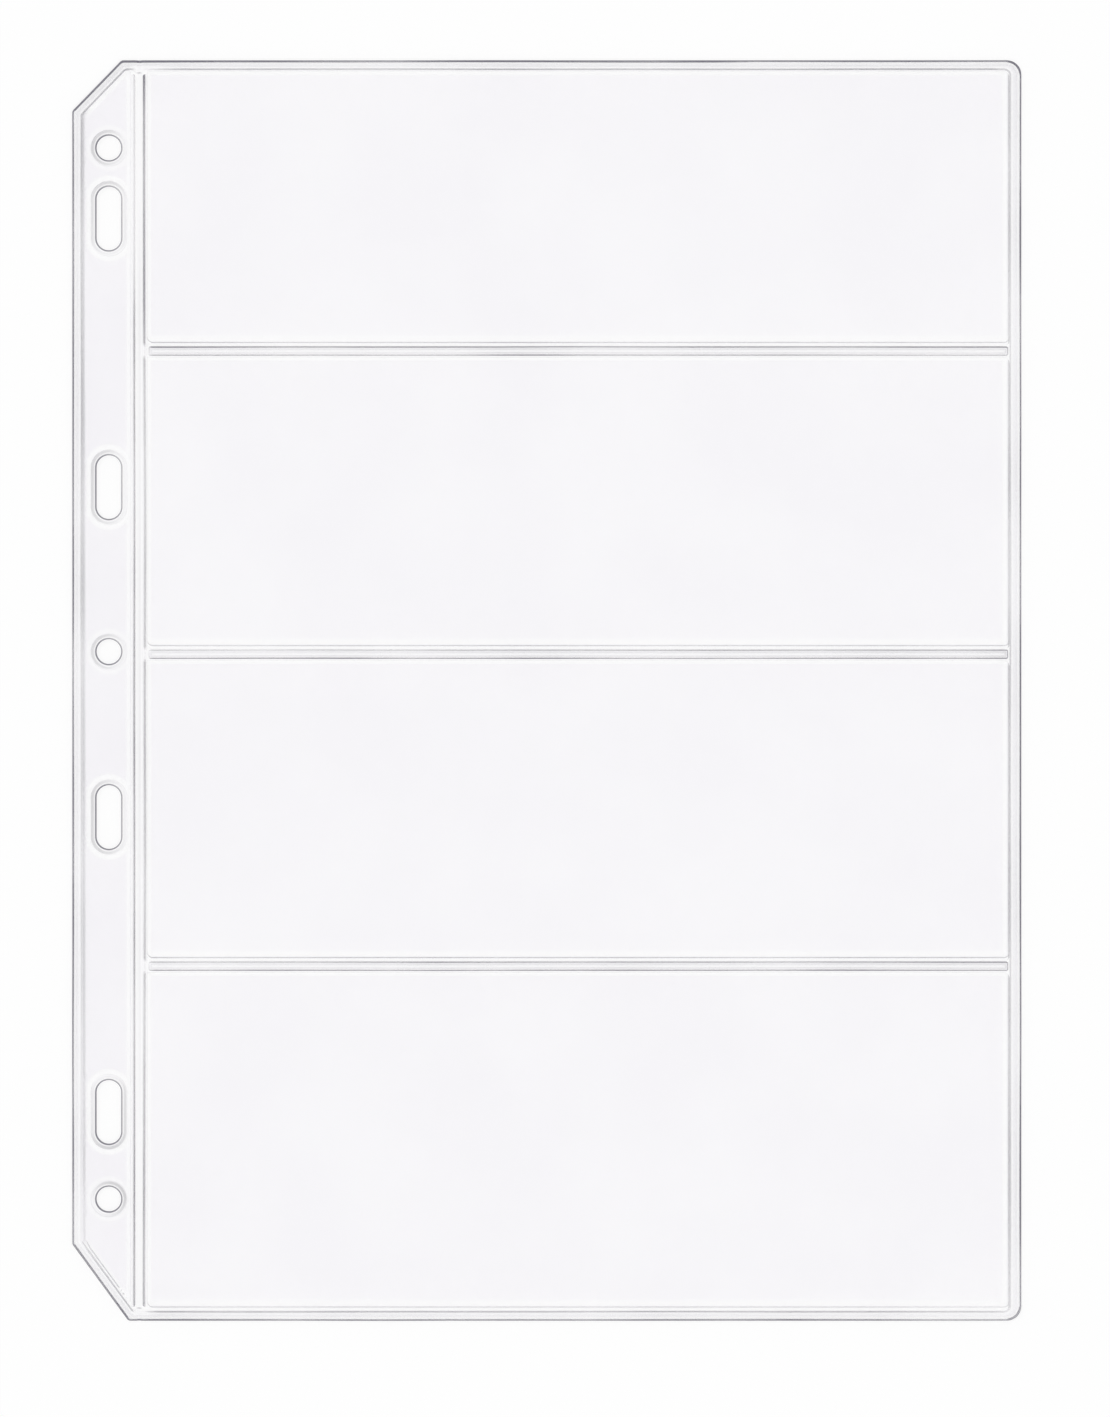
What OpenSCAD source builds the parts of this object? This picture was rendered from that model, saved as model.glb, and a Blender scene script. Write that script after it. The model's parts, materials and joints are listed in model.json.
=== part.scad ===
// Clear album page with four banknote pockets and a punched binding strip.
// The page lies flat. X runs from the binding edge to the fore edge, Y to the top, Z through the films.
// The origin lies under the middle of the page, and all sizes are in millimetres.

/* [Page] */
// Width of the page, from the binding edge to the fore edge
page_w = 195; // [150:1:240]
// Height of the page
page_h = 259; // [215:1:320]
// Radius of the two corners at the fore edge
fore_corner_r = 3; // [1:0.1:8]
// Length that the top binding corner is cut back along the top edge
top_cut_x = 10.1; // [4:0.1:13]
// Length that the top binding corner is cut back along the binding edge
top_cut_y = 10.4; // [4:0.1:13]
// Length that the bottom binding corner is cut back along the bottom edge
bottom_cut_x = 11.5; // [4:0.1:14]
// Length that the bottom binding corner is cut back along the binding edge
bottom_cut_y = 15.7; // [4:0.1:19]
// Radius where a cut corner meets the page's edges
cut_corner_r = 0.9; // [0.5:0.1:2]

/* [Films] */
// Thickness of each film
film_t = 0.15; // [0.1:0.01:0.25]
// Free height between the back film and a front film
pocket_gap = 0.2; // [0.12:0.01:0.5]
// Width of the border that is pressed thin along a pocket film's bottom
bottom_press_w = 0.9; // [0.4:0.1:3]
// Width of the border that is pressed thin along a pocket film's sides
side_press_w = 0.6; // [0.4:0.1:3]
// Depth to which those borders are pressed
press_depth = 0.04; // [0.02:0.01:0.05]
// Gap between a pocket film and the welds at its sides and bottom
film_clearance = 0.15; // [0.05:0.01:0.4]
// Width of the mouth between a pocket film's free edge and the weld above it
mouth_gap = 0.3; // [0.1:0.05:2]

/* [Welds] */
// Width of the edge weld at the binding edge, the top and the bottom
edge_weld_w = 2; // [1.2:0.1:3]
// Width of the edge weld at the fore edge
fore_weld_w = 2.4; // [1.2:0.1:4]
// Radius of the edge weld's inner corners, and of the pocket films' corners that lie in them
inner_corner_r = 1.2; // [0.4:0.1:2]
// Width of each divider weld
divider_w = 1.9; // [1.2:0.1:4]
// Width of each spine weld
spine_weld_w = 0.9; // [0.75:0.05:1.1]
// Radius of the ends of the spine and divider welds
weld_end_r = 0.4; // [0.36:0.01:0.6]
// Gap between the end of a divider weld and the weld that it runs up to
divider_end_gap = 0.3; // [0.1:0.05:1]
// Gap between the end of a spine weld and the edge weld
spine_end_gap = 0.9; // [0.1:0.1:3]
// Height by which a weld's land reaches up the edge of a front film
weld_grip = 0.15; // [0.05:0.01:0.2]
// Radius of the bead that is squeezed out along a weld's border
bead_r = 0.15; // [0.08:0.005:0.155]
// Radius of that bead round a corner, where more is squeezed out
bead_corner_r = 0.16; // [0.09:0.01:0.17]
// Distance of a bead's middle from the weld's border
bead_inset = 0.2; // [0.16:0.01:0.24]
// Depth of a bead's middle below the land
bead_sink = 0.02; // [0.01:0.01:0.06]

/* [Crease] */
// Distance of the crease from the binding edge
crease_x = 13.7; // [13:0.1:20]
// Gap left between the welds on both sides of the crease when the leaf stands up square
fold_clearance = 0.2; // [0.15:0.01:0.6]
// Gap at the crease between the strip's back film and the leaf's round edge
crease_clearance = 0.1; // [0.05:0.01:0.3]

/* [Holes] */
// Distance of the holes' middle line from the binding edge
hole_x = 7.5; // [6:0.1:8.3]
// Radius of a round ring hole
ring_hole_r = 2.55; // [2:0.05:3.1]
// Half the width of a slot
slot_r = 2.55; // [2:0.05:3.1]
// Length of a slot, end to end
slot_l = 13.1; // [8:0.1:16]
// Width of the collar round a hole or slot
collar_w = 1.15; // [0.6:0.05:1.4]
// Distance of the top ring hole from the page's top
top_ring_y = 18; // [16:0.1:20]
// Distance of the middle ring hole from the page's top
middle_ring_y = 121.5; // [102:0.1:140]
// Distance of the bottom ring hole from the page's bottom
bottom_ring_y = 25; // [21:0.1:30]
// Distance of the first slot from the page's top
slot_1_y = 32.5; // [31:0.1:70]
// Distance of the second slot from the page's top
slot_2_y = 87.7; // [60:0.1:105]
// Distance of the third slot from the page's top
slot_3_y = 155.5; // [135:0.1:190]
// Distance of the fourth slot from the page's bottom
slot_4_y = 42.9; // [38:0.1:70]

/* [Pockets] */
// Height of the first pocket, between the welds above and below it
pocket_1_h = 56.8; // [40:0.1:75]
// Height of the second pocket
pocket_2_h = 60.4; // [40:0.1:75]
// Height of the third pocket, under which the fourth takes what is left of the page
pocket_3_h = 62.2; // [40:0.1:75]

/* [Hidden] */
$fn = 48;

film_colour = [0.93, 0.93, 0.96, 0.4];
weld_colour = [0.80, 0.80, 0.84, 0.8];

// Length below which a straight run counts as none
tiny = 0.001;
// Room by which a cutting solid passes what it cuts
over = 1;
// Length by which a straight bead runs on into the thicker bead of a corner
bead_lap = 0.04;

// The page's four sides
left_x = -page_w / 2;
right_x = page_w / 2;
bottom_y = -page_h / 2;
top_y = page_h / 2;

// Heights of the layers
film_edge_r = film_t / 2;
front_z = film_t + pocket_gap;
pressed_t = film_t - press_depth;
pressed_edge_r = pressed_t / 2;
land_z = front_z + weld_grip;
weld_t = land_z - film_t;
bead_z = land_z - bead_sink;
bead_top_z = bead_z + max(bead_r, bead_corner_r);

// Lines up the page. The groove at the crease leaves the beads room to stand up square beside each other
fold_x = left_x + crease_x;
groove_half_w = bead_top_z - film_edge_r + fold_clearance;
strip_end_x = fold_x - groove_half_w;
leaf_start_x = fold_x + groove_half_w;
strip_weld_x = strip_end_x - spine_weld_w;
pocket_left_x = leaf_start_x + spine_weld_w;
pocket_right_x = right_x - fore_weld_w;

// Top and bottom of each pocket, between the welds that close it
pocket_1_top = top_y - edge_weld_w;
pocket_2_top = pocket_1_top - pocket_1_h - divider_w;
pocket_3_top = pocket_2_top - pocket_2_h - divider_w;
pocket_4_top = pocket_3_top - pocket_3_h - divider_w;
pocket_tops = [pocket_1_top, pocket_2_top, pocket_3_top, pocket_4_top];
pocket_bottoms = [
    pocket_2_top + divider_w,
    pocket_3_top + divider_w,
    pocket_4_top + divider_w,
    bottom_y + edge_weld_w
];

// Middles of the holes and slots, from top to bottom
hole_line_x = left_x + hole_x;
ring_names = ["top", "middle", "bottom"];
ring_ys = [top_y - top_ring_y, top_y - middle_ring_y, bottom_y + bottom_ring_y];
slot_ys = [top_y - slot_1_y, top_y - slot_2_y, top_y - slot_3_y, bottom_y + slot_4_y];

// The page's corners, anticlockwise from the bottom cut, and the weld's width along the side after each
page_points = [
    [left_x + bottom_cut_x, bottom_y],
    [right_x, bottom_y],
    [right_x, top_y],
    [left_x + top_cut_x, top_y],
    [left_x, top_y - top_cut_y],
    [left_x, bottom_y + bottom_cut_y]
];
page_radii = [cut_corner_r, fore_corner_r, fore_corner_r, cut_corner_r, cut_corner_r, cut_corner_r];
weld_widths = [edge_weld_w, fore_weld_w, edge_weld_w, edge_weld_w, edge_weld_w, edge_weld_w];

// Unit direction of the side that starts at point i
function side(points, i) =
    let (run = points[(i + 1) % len(points)] - points[i])
    run / norm(run);

// Unit direction of the side that ends at point i
function side_before(points, i) = side(points, (i + len(points) - 1) % len(points));

// A convex outline with the side after each point moved inwards by its own distance
function inset(points, by) = [
    for (i = [0 : len(points) - 1])
        let (
            before = side_before(points, i),
            after = side(points, i),
            by_before = by[(i + len(points) - 1) % len(points)]
        )
        points[i] + (by_before * after - by[i] * before) / cross(before, after)
];

// A rounded corner: where its arc starts and ends, its middle, radius, first angle and sweep
function corner(points, r, i) =
    let (
        before = side_before(points, i),
        after = side(points, i),
        sweep = atan2(cross(before, after), before * after),
        cut = r * tan(sweep / 2),
        start = points[i] - cut * before,
        end = points[i] + cut * after,
        middle = start + r * [-before.y, before.x]
    )
    [start, end, middle, r, atan2(-before.x, before.y), sweep];

function corners(points, radii) = [
    for (i = [0 : len(points) - 1]) corner(points, radii[i], i)
];

function box_points(low, high) = [low, [high.x, low.y], high, [low.x, high.y]];

function same_for(points, value) = [for (p = points) value];

// A convex outline with round corners
module rounded(points, radii) {
    arcs = corners(points, radii);
    polygon([for (a = arcs) each [a[0], a[1]]]);
    for (a = arcs)
        if (a[3] > 0)
            translate(a[2])
                circle(a[3]);
}

// A round bead along a convex outline with round corners
module bead_loop(points, radii) {
    arcs = corners(points, radii);
    for (i = [0 : len(arcs) - 1]) {
        start = arcs[i][1];
        run = arcs[(i + 1) % len(arcs)][0] - start;
        if (norm(run) > tiny)
            translate([start.x, start.y, bead_z])
                rotate([0, 90, atan2(run.y, run.x)])
                    translate([0, 0, -bead_lap])
                        cylinder(h = norm(run) + 2 * bead_lap, r = bead_r);
        translate([arcs[i][2].x, arcs[i][2].y, bead_z])
            rotate(arcs[i][4])
                rotate_extrude(angle = arcs[i][5])
                    translate([arcs[i][3], 0])
                        circle(bead_corner_r);
    }
}

module page_outline() {
    rounded(page_points, page_radii);
}

// What the edge weld goes round
module inner_outline() {
    rounded(inset(page_points, weld_widths), same_for(page_points, inner_corner_r));
}

// A stretch of the page between two lines up it, through all its layers
module between(from_x, to_x) {
    translate([from_x, bottom_y - over, -over])
        cube([to_x - from_x, page_h + 2 * over, bead_top_z + 2 * over]);
}

// The edge weld in one loop: a flat land with a bead along each border
module edge_weld_loop() {
    translate([0, 0, film_t])
        linear_extrude(weld_t)
            difference() {
                page_outline();
                inner_outline();
            }
    bead_loop(
        inset(page_points, same_for(page_points, bead_inset)),
        [for (r = page_radii) r - bead_inset]
    );
    bead_loop(
        inset(page_points, [for (w = weld_widths) w - bead_inset]),
        same_for(page_points, inner_corner_r + bead_inset)
    );
}

// A straight weld: a flat land with round corners and a bead round its border
module weld_bar(low, high) {
    points = box_points(low, high);
    end_r = min(weld_end_r, (high.x - low.x) / 2, (high.y - low.y) / 2);
    translate([0, 0, film_t])
        linear_extrude(weld_t)
            rounded(points, same_for(points, end_r));
    bead_loop(
        inset(points, same_for(points, bead_inset)),
        same_for(points, end_r - bead_inset)
    );
}

// A spine weld, kept inside the edge weld where a cut corner reaches it
module spine_weld(x) {
    low = [x, bottom_y + edge_weld_w + spine_end_gap];
    high = [x + spine_weld_w, top_y - edge_weld_w - spine_end_gap];
    intersection() {
        weld_bar(low, high);
        linear_extrude(bead_top_z + over)
            inner_outline();
    }
}

module slot_outline(r, l) {
    square([2 * r, l - 2 * r], center = true);
    for (end = [-1, 1])
        translate([0, end * (l / 2 - r)])
            circle(r);
}

// The cut-outs in the strip's films, which the collars fill
module collar_cutouts() {
    for (y = ring_ys)
        translate([hole_line_x, y])
            circle(ring_hole_r + collar_w);
    for (y = slot_ys)
        translate([hole_line_x, y])
            slot_outline(slot_r + collar_w, slot_l + 2 * collar_w);
}

module strip_back_film() {
    color(film_colour)
        intersection() {
            linear_extrude(film_t)
                difference() {
                    page_outline();
                    collar_cutouts();
                }
            between(left_x - over, fold_x - film_edge_r - crease_clearance);
        }
}

module strip_front_film() {
    color(film_colour)
        intersection() {
            translate([0, 0, front_z])
                linear_extrude(film_t)
                    difference() {
                        inner_outline();
                        collar_cutouts();
                    }
            between(left_x, strip_weld_x);
        }
}

module strip_edge_weld() {
    color(weld_colour)
        intersection() {
            edge_weld_loop();
            between(left_x - over, strip_end_x);
        }
}

module strip_spine_weld() {
    color(weld_colour)
        spine_weld(strip_weld_x);
}

// A flat ring fused through all the films, with a bead along its outer border
module ring_hole_collar(i) {
    color(weld_colour)
        translate([hole_line_x, ring_ys[i], 0])
            rotate_extrude() {
                translate([ring_hole_r, 0])
                    square([collar_w, land_z]);
                translate([ring_hole_r + collar_w - bead_inset, bead_z])
                    circle(bead_corner_r);
            }
}

// The same ring, drawn out to the length of a slot
module slot_collar(i) {
    straight = slot_l - 2 * slot_r;
    bead_line_r = slot_r + collar_w - bead_inset;
    color(weld_colour)
        translate([hole_line_x, slot_ys[i], 0]) {
            linear_extrude(land_z)
                difference() {
                    slot_outline(slot_r + collar_w, slot_l + 2 * collar_w);
                    slot_outline(slot_r, slot_l);
                }
            for (turn = [0, 180])
                rotate(turn)
                    translate([0, straight / 2, bead_z]) {
                        rotate_extrude(angle = 180)
                            translate([bead_line_r, 0])
                                circle(bead_corner_r);
                        translate([bead_line_r, bead_lap, 0])
                            rotate([90, 0, 0])
                                cylinder(h = straight + 2 * bead_lap, r = bead_r);
                    }
        }
}

// The leaf's back film ends at the crease in a full round edge, which the leaf turns about
module leaf_back_film() {
    color(film_colour)
        intersection() {
            translate([0, top_y + over, 0])
                rotate([90, 0, 0])
                    linear_extrude(page_h + 2 * over) {
                        translate([fold_x, 0])
                            square([right_x - fold_x, film_t]);
                        translate([fold_x, film_edge_r])
                            circle(film_edge_r);
                    }
            translate([0, 0, -over])
                linear_extrude(film_t + 2 * over)
                    page_outline();
        }
}

module leaf_edge_weld() {
    color(weld_colour)
        intersection() {
            edge_weld_loop();
            between(leaf_start_x, right_x + over);
        }
}

module leaf_spine_weld() {
    color(weld_colour)
        spine_weld(leaf_start_x);
}

module divider_weld(i) {
    low = [pocket_left_x + divider_end_gap, pocket_bottoms[i] - divider_w];
    high = [pocket_right_x - divider_end_gap, pocket_bottoms[i]];
    color(weld_colour)
        weld_bar(low, high);
}

// The pressed layer of a pocket film, seen from its side, with a full round along the bottom
module pressed_profile(h) {
    translate([pressed_edge_r, pressed_edge_r])
        circle(pressed_edge_r);
    translate([pressed_edge_r, 0])
        square([h - pressed_edge_r, pressed_t]);
}

// A flat film with a pressed border along its bottom and sides, and its mouth at the top
module pocket_film(i) {
    low = [pocket_left_x + film_clearance, pocket_bottoms[i] + film_clearance];
    high = [pocket_right_x - film_clearance, pocket_tops[i] - mouth_gap];
    points = box_points(low, high);
    radii = [inner_corner_r, inner_corner_r, inner_corner_r, 0];
    border = [bottom_press_w, side_press_w, -over, side_press_w];
    color(film_colour)
        translate([0, 0, front_z])
            intersection() {
                union() {
                    translate([low.x, low.y, 0])
                        rotate([90, 0, 90])
                            linear_extrude(high.x - low.x)
                                pressed_profile(high.y - low.y + over);
                    translate([0, 0, pressed_edge_r])
                        linear_extrude(film_t - pressed_edge_r)
                            rounded(inset(points, border), radii);
                }
                translate([0, 0, -over])
                    linear_extrude(film_t + 2 * over)
                        rounded(points, radii);
            }
}

strip_back_film();
strip_front_film();
strip_edge_weld();
strip_spine_weld();
for (i = [0 : len(ring_ys) - 1])
    ring_hole_collar(i);
for (i = [0 : len(slot_ys) - 1])
    slot_collar(i);
leaf_back_film();
leaf_edge_weld();
leaf_spine_weld();
for (i = [0 : len(pocket_tops) - 2])
    divider_weld(i);
for (i = [0 : len(pocket_tops) - 1])
    pocket_film(i);
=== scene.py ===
import json
import math

import bmesh
import bpy
import numpy as np
from mathutils.geometry import delaunay_2d_cdt
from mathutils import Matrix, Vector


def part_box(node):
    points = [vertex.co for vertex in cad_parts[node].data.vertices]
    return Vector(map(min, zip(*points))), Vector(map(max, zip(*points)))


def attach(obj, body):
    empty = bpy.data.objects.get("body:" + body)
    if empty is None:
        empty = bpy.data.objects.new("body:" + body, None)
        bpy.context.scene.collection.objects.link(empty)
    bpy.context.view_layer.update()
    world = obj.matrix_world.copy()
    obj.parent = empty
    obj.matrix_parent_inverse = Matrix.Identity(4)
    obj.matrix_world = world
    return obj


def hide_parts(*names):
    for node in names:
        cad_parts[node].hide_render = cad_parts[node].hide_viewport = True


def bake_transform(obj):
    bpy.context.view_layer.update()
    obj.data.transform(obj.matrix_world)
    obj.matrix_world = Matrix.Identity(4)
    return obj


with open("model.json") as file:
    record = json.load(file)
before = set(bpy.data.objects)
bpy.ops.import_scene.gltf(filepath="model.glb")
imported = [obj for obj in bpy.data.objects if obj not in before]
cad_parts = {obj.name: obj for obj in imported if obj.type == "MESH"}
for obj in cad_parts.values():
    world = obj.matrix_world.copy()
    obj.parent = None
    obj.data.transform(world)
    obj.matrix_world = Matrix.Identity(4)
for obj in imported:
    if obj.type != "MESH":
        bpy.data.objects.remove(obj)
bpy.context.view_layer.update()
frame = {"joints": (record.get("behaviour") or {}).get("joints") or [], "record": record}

# The page is clear film, so its looks are lines: each vertex holds a painted shade, how much of a dark line it lies
# on, standing in for the shade that refraction gives at seams and bead flanks, and a painted highlight, how far the
# film is cleared and whitened there to stand in for a highlight. Lengths are in millimetres until a mesh is made.
MM = 0.001


def box_mm(node):
    low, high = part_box(node)
    return np.array(low) / MM, np.array(high) / MM


# Places and heights from the frame
joints = {j["name"]: np.array(j["pos_m"]) / MM for j in frame["joints"]}
mount_sizes = {m["name"]: m["dims"] for m in frame["record"]["mounts"]}
strip_low, strip_high = box_mm("strip_edge_weld")
leaf_low, leaf_high = box_mm("leaf_edge_weld")
front_low, front_high = box_mm("strip_front_film")
strip_spine = box_mm("strip_spine_weld")
leaf_spine = box_mm("leaf_spine_weld")
first_pocket = box_mm("pocket_film_1")
LEFT, RIGHT, BOTTOM, TOP = strip_low[0], leaf_high[0], leaf_low[1], leaf_high[1]
FILM_TOP = box_mm("leaf_back_film")[1][2]
FRONT_Z, LAND_Z, BEAD_Z = front_low[2], front_high[2], strip_high[2]
BEAD_H = BEAD_Z - LAND_Z
FOLD_X = joints["leaf_fold"][0]
LEAF_X = leaf_spine[0][0]
EDGE_W = front_low[0] - LEFT
FILM_GAP = first_pocket[0][0] - leaf_spine[1][0]
FORE_W = RIGHT - FILM_GAP - first_pocket[1][0]

# Corners of the page, as in the CAD source
TOP_CUT = (10.1, 10.4)
BOTTOM_CUT = (11.5, 15.7)
CUT_R, FORE_R, INNER_R = 0.9, 3.0, 1.2
PRESS_SIDE, PRESS_BOTTOM, PRESS_RAMP = 0.6, 0.9, 0.25

# How the pieces meet: a fused piece bites into the back film, and pieces side by side leave a hair between them
BITE = 0.02
HAIR = 0.015
ARC_STEPS, CAPSULE_STEPS = 8, 72
MIN_RADIUS = 0.3
SHARP_ANGLE = math.radians(50)

# Triangulation: only what lies inside the loops, with points closer than this taken as one
INSIDE_ONLY, SAME_POINT = 1, 1e-5

# Waves of the wandering: an angle for each millimetre across and up the page, and for each seed
WAVES = ((0.045, 0.061, 1), (0.113, -0.097, 2.7))
EDGE_SEED, BAR_SEED = 1, 3


def smooth(low, high, value):
    """Rises from 0 at low to 1 at high, level at both ends."""
    t = np.clip((value - low) / (high - low), 0, 1)
    return t * t * (3 - 2 * t)


def hump(low, middle, high, value):
    """Rises from 0 at low to 1 at middle and falls to 0 at high."""
    return np.where(value < middle, smooth(low, middle, value), 1 - smooth(middle, high, value))


def band(look, value):
    """A hump with a strength and a span of its own."""
    strength, span = look
    return strength * hump(*span, value)


def at_least(least, value):
    """Rises from a least share to 1 as a value rises from 0 to 1."""
    return least + (1 - least) * value


def waver(x, y, seed):
    """A slow, even wandering between about -1 and 1, different for each seed."""
    return sum(math.sin(a * x + b * y + c * seed) / len(WAVES) for a, b, c in WAVES)


def unit(v):
    return v / np.hypot(*v)


def left_of(v):
    return np.array([-v[1], v[0]])


def side_directions(points):
    return [unit(points[(i + 1) % len(points)] - p) for i, p in enumerate(points)]


def inset(points, by):
    """A convex outline with the side after each point moved inwards by its own distance."""
    along = side_directions(points)
    moved = []
    for i, p in enumerate(points):
        before, after = along[i - 1], along[i]
        turn = before[0] * after[1] - before[1] * after[0]
        moved.append(p + (by[i - 1] * after - by[i] * before) / turn)
    return moved


def round_loop(points, by, radii, stops):
    """An inset outline with round corners. Each side has its own stops, measured from its start on the outline."""
    along = side_directions(points)
    corners = inset(points, by)
    loop = []
    for i, corner in enumerate(corners):
        before, after, r = along[i - 1], along[i], radii[i]
        sweep = math.atan2(before[0] * after[1] - before[1] * after[0], before @ after)
        middle = corner - r * math.tan(sweep / 2) * before + r * left_of(before)
        first = math.atan2(-before[0], before[1])
        for k in range(ARC_STEPS + 1):
            angle = first + sweep * k / ARC_STEPS
            loop.append(middle + r * np.array([math.cos(angle), math.sin(angle)]))
        for stop in stops[i]:
            loop.append(points[i] + stop * after + by[i] * left_of(after))
    return np.array(loop)


def even_stops(length, margin, spacing):
    count = max(2, round((length - 2 * margin) / spacing) + 1)
    return list(np.linspace(margin, length - margin, count))


def cut_right(points, x):
    """The part of a convex outline to the left of a line up the page."""
    kept = []
    for i, p in enumerate(points):
        q = points[(i + 1) % len(points)]
        if p[0] <= x:
            kept.append(p)
        if (p[0] <= x) != (q[0] <= x):
            kept.append(p + (q - p) * (x - p[0]) / (q[0] - p[0]))
    return kept


def depth_inside(points, p):
    """Distance of a point from the nearest side of a convex outline, below 0 outside it."""
    along = side_directions(points)
    return min(float((p - a) @ left_of(d)) for a, d in zip(points, along))


def capsule(centre, r, half):
    """A circle, or with half above 0 a slot, round a middle."""
    angles = (np.arange(CAPSULE_STEPS) + 0.5) * 2 * math.pi / CAPSULE_STEPS
    ends = np.where(np.sin(angles) > 0, half, -half)
    return np.stack([centre[0] + r * np.cos(angles), centre[1] + r * np.sin(angles) + ends], 1)


def capsule_distance(centre, half, p):
    """Distance of a point from a circle's middle, or from a slot's middle line."""
    dx, dy = p[0] - centre[0], p[1] - centre[1]
    return math.hypot(dx, max(0, abs(dy) - half))


def make_piece(name, vertices, faces, painted_shades, painted_highlights, material):
    """A mesh object with its painted shade, its painted highlights and its place at rest stored on its vertices."""
    mesh = bpy.data.meshes.new(name)
    mesh.from_pydata([tuple(v) for v in np.asarray(vertices) * MM], [], faces)
    shape = bmesh.new()
    shape.from_mesh(mesh)
    bmesh.ops.recalc_face_normals(shape, faces=shape.faces)
    shape.to_mesh(mesh)
    shape.free()
    for key, values in (("painted_shade", painted_shades), ("painted_highlight", painted_highlights)):
        mesh.attributes.new(key, "FLOAT", "POINT").data.foreach_set("value", np.asarray(values, np.float32))
    rest = mesh.attributes.new("rest_place", "FLOAT_VECTOR", "POINT")
    rest.data.foreach_set("vector", np.asarray(vertices, np.float32).ravel())
    mesh.shade_smooth()
    mesh.set_sharp_from_angle(angle=SHARP_ANGLE)
    mesh.materials.append(material)
    piece = bpy.data.objects.new(name, mesh)
    bpy.context.scene.collection.objects.link(piece)
    return piece


def sweep_piece(name, loops, ring, material):
    """A solid through loops of x, y, z, painted shade and painted highlight: a ring round a hole, or else closed by
    its first and last.
    """
    loops = np.array(loops)
    rows, count = loops.shape[:2]
    faces = []
    for i in range(rows if ring else rows - 1):
        a, b = i * count, (i + 1) % rows * count
        for k in range(count):
            n = (k + 1) % count
            faces.append((a + k, a + n, b + n, b + k))
    if not ring:
        faces.append(tuple(range(count)))
        faces.append(tuple(range((rows - 1) * count, rows * count)))
    flat = loops.reshape(-1, 5)
    return make_piece(name, flat[:, :3], faces, flat[:, 3], flat[:, 4], material)


def plate_piece(name, loops, lines, extra, is_hole, low_z, high_z, tone, material):
    """A flat film with holes: triangles through its loops, lines and extra points, on both faces, and its edges."""
    points, edges = [], []
    for loop in loops:
        start = len(points)
        points += [tuple(p) for p in loop]
        edges += [(start + k, start + (k + 1) % len(loop)) for k in range(len(loop))]
    for line in lines:
        start = len(points)
        points += [tuple(p) for p in line]
        edges += [(start + k, start + k + 1) for k in range(len(line) - 1)]
    points += [tuple(p) for p in extra]
    found = delaunay_2d_cdt(points, edges, [], INSIDE_ONLY, SAME_POINT)
    spots = np.array([tuple(v) for v in found[0]])
    faces = [f for f in found[2] if not is_hole(spots[list(f)].mean(0))]
    used = sorted({v for f in faces for v in f})
    number = {v: i for i, v in enumerate(used)}
    spots = spots[used]
    top = [tuple(number[v] for v in f) for f in faces]
    borders = {}
    for f in top:
        for a, b in zip(f, f[1:] + f[:1]):
            borders[(a, b)] = (b, a) not in borders
            if not borders[(a, b)]:
                del borders[(a, b)], borders[(b, a)]
    n = len(spots)
    walls = [(b, a, a + n, b + n) for a, b in borders]
    under = [tuple(v + n for v in reversed(f)) for f in top]
    tones = np.array([tone(p) for p in spots])
    vertices = np.concatenate([np.c_[spots, np.full(n, high_z)], np.c_[spots, np.full(n, low_z)]])
    painted_shades, painted_highlights = np.r_[tones[:, 0], np.zeros(n)], np.r_[tones[:, 1], tones[:, 1]]
    return make_piece(name, vertices, top + under + walls, painted_shades, painted_highlights, material)


# Materials. A face lets most light through, painted shade turns it into a dark line, and a painted highlight clears it
# and tints it white
FILM_COLOUR = (0.72, 0.66, 0.81, 1)
PAINTED_SHADE_COLOUR = (0.17, 0.162, 0.2, 1)
PAINTED_HIGHLIGHT_COLOUR = (0.97, 0.97, 0.98, 1)
PAINTED_SHADE_ALPHA, PAINTED_HIGHLIGHT_ALPHA = 0.95, 0.015
PAINTED_SHADE_TINT, PAINTED_HIGHLIGHT_TINT = 5, 3
GRAZING_BLEND, GRAZING_ALPHA, GRAZING_POWER = 0.5, 0.5, 5
SLOW_SCALE, SLOW_DETAIL, MOTTLE_SHARE, LINE_SHARE = 0.035, 1, 0.13, 0.22
NOISE_LOW, NOISE_HIGH = 0.3, 0.7
BUMP_SCALE, BUMP_DETAIL, BUMP_STRENGTH, BUMP_HEIGHT = 0.5, 0, 0.15, 0.00002
MIX_A, MIX_B, MIX_RESULT = 6, 7, 2  # sockets of a Mix node that blends colours


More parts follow.
